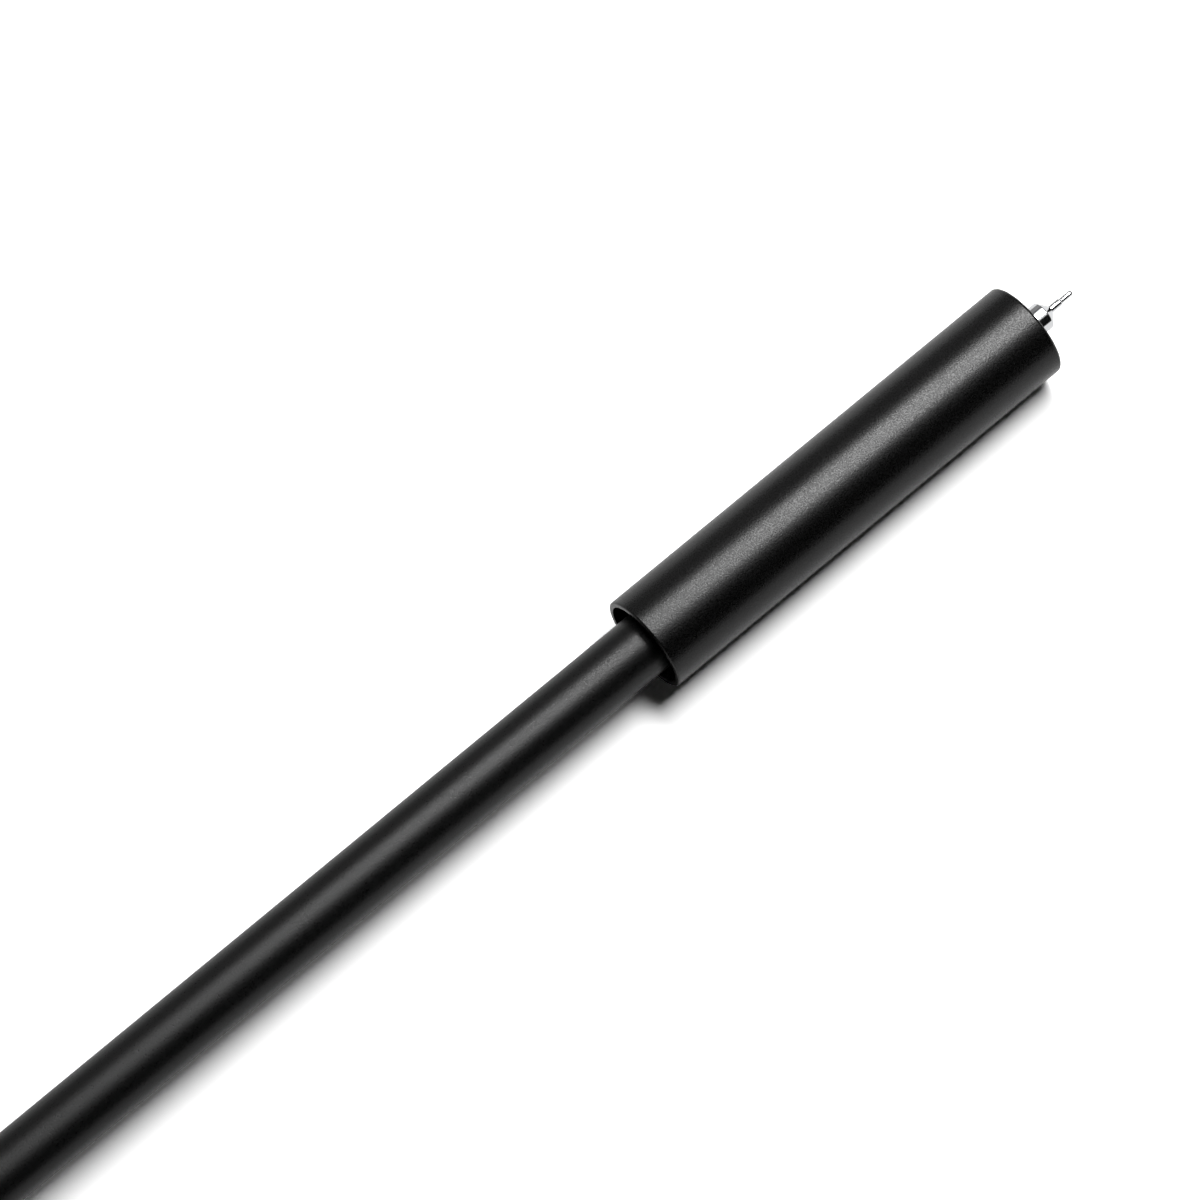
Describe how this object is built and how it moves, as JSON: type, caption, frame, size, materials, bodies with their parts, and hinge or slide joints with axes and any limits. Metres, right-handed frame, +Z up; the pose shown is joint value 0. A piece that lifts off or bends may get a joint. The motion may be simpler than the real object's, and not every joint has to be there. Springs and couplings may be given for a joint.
{
  "type": "needle-point pen",
  "caption": "Slim round black pen with a wide sliding grip sleeve at the front, a needle-point gel refill inside the long thin barrel, and a screw plug at the tail.",
  "frame": {"origin": "under the middle of the pen's length, on the surface that the grip sleeve lies on", "axes": "+X along the pen's axis towards the writing point, +Z up"},
  "size_m": [0.1542, 0.011, 0.011],
  "materials": {
    "black_anodised": "satin",
    "polished_steel": "polished",
    "turned_steel": "satin",
    "turned_brass": "satin",
    "black_rubber": "matte",
    "clear_plastic": "gloss",
    "white_plastic": "satin",
    "black_ink": "gloss",
    "clear_grease": "gloss"
  },
  "bodies": {
    "barrel_body": {"barrel": "black_anodised", "front_section": "turned_steel"},
    "sleeve_rings": {"sleeve_o_ring_front": "black_rubber", "sleeve_o_ring_rear": "black_rubber"},
    "sleeve_body": {"grip_sleeve": "black_anodised", "sleeve_bush_front": "turned_brass", "sleeve_bush_rear": "turned_brass"},
    "refill_body": {"tip_collar": "polished_steel", "needle_tube": "polished_steel", "ball_spring": "turned_steel", "tip_adapter": "white_plastic", "refill_tube": "clear_plastic", "ink_column": "black_ink", "follower_grease": "clear_grease", "refill_end_plug": "white_plastic", "refill_cup": "white_plastic", "refill_spring": "turned_steel"},
    "ball_body": {"writing_ball": "polished_steel"},
    "tail_ring": {"tail_o_ring": "black_rubber"},
    "tail_plug_body": {"tail_plug": "black_anodised"}
  },
  "joints": [
    {"name": "sleeve_slide", "type": "slide", "parent": "barrel_body", "child": "sleeve_rings", "axis": [1, 0, 0], "range_m": [0, 0.062]},
    {"name": "sleeve_turn", "type": "hinge", "parent": "sleeve_rings", "child": "sleeve_body", "pos_m": [0.0707, 0, 0.0055], "axis": [1, 0, 0], "continuous": true},
    {"name": "refill_press", "type": "slide", "parent": "barrel_body", "child": "refill_body", "axis": [-1, 0, 0], "range_m": [0, 0.001], "stiffness_N_per_m": 250, "springref_m": -0.0025, "deforming": ["refill_spring"]},
    {"name": "ball_roll", "type": "hinge", "parent": "refill_body", "child": "ball_body", "pos_m": [0.07685, 0, 0.0055], "axis": [0, 1, 0], "continuous": true},
    {"name": "tail_plug_draw", "type": "slide", "parent": "barrel_body", "child": "tail_ring", "axis": [-1, 0, 0], "range_m": [0, 0.004]},
    {"name": "tail_plug_turn", "type": "hinge", "parent": "tail_ring", "child": "tail_plug_body", "pos_m": [-0.0771, 0, 0.0055], "axis": [-1, 0, 0], "range_deg": [0, 2880]}
  ],
  "couplings": [
    {"joint": "tail_plug_turn", "follows": "tail_plug_draw", "rad_per_m": 12566}
  ]
}
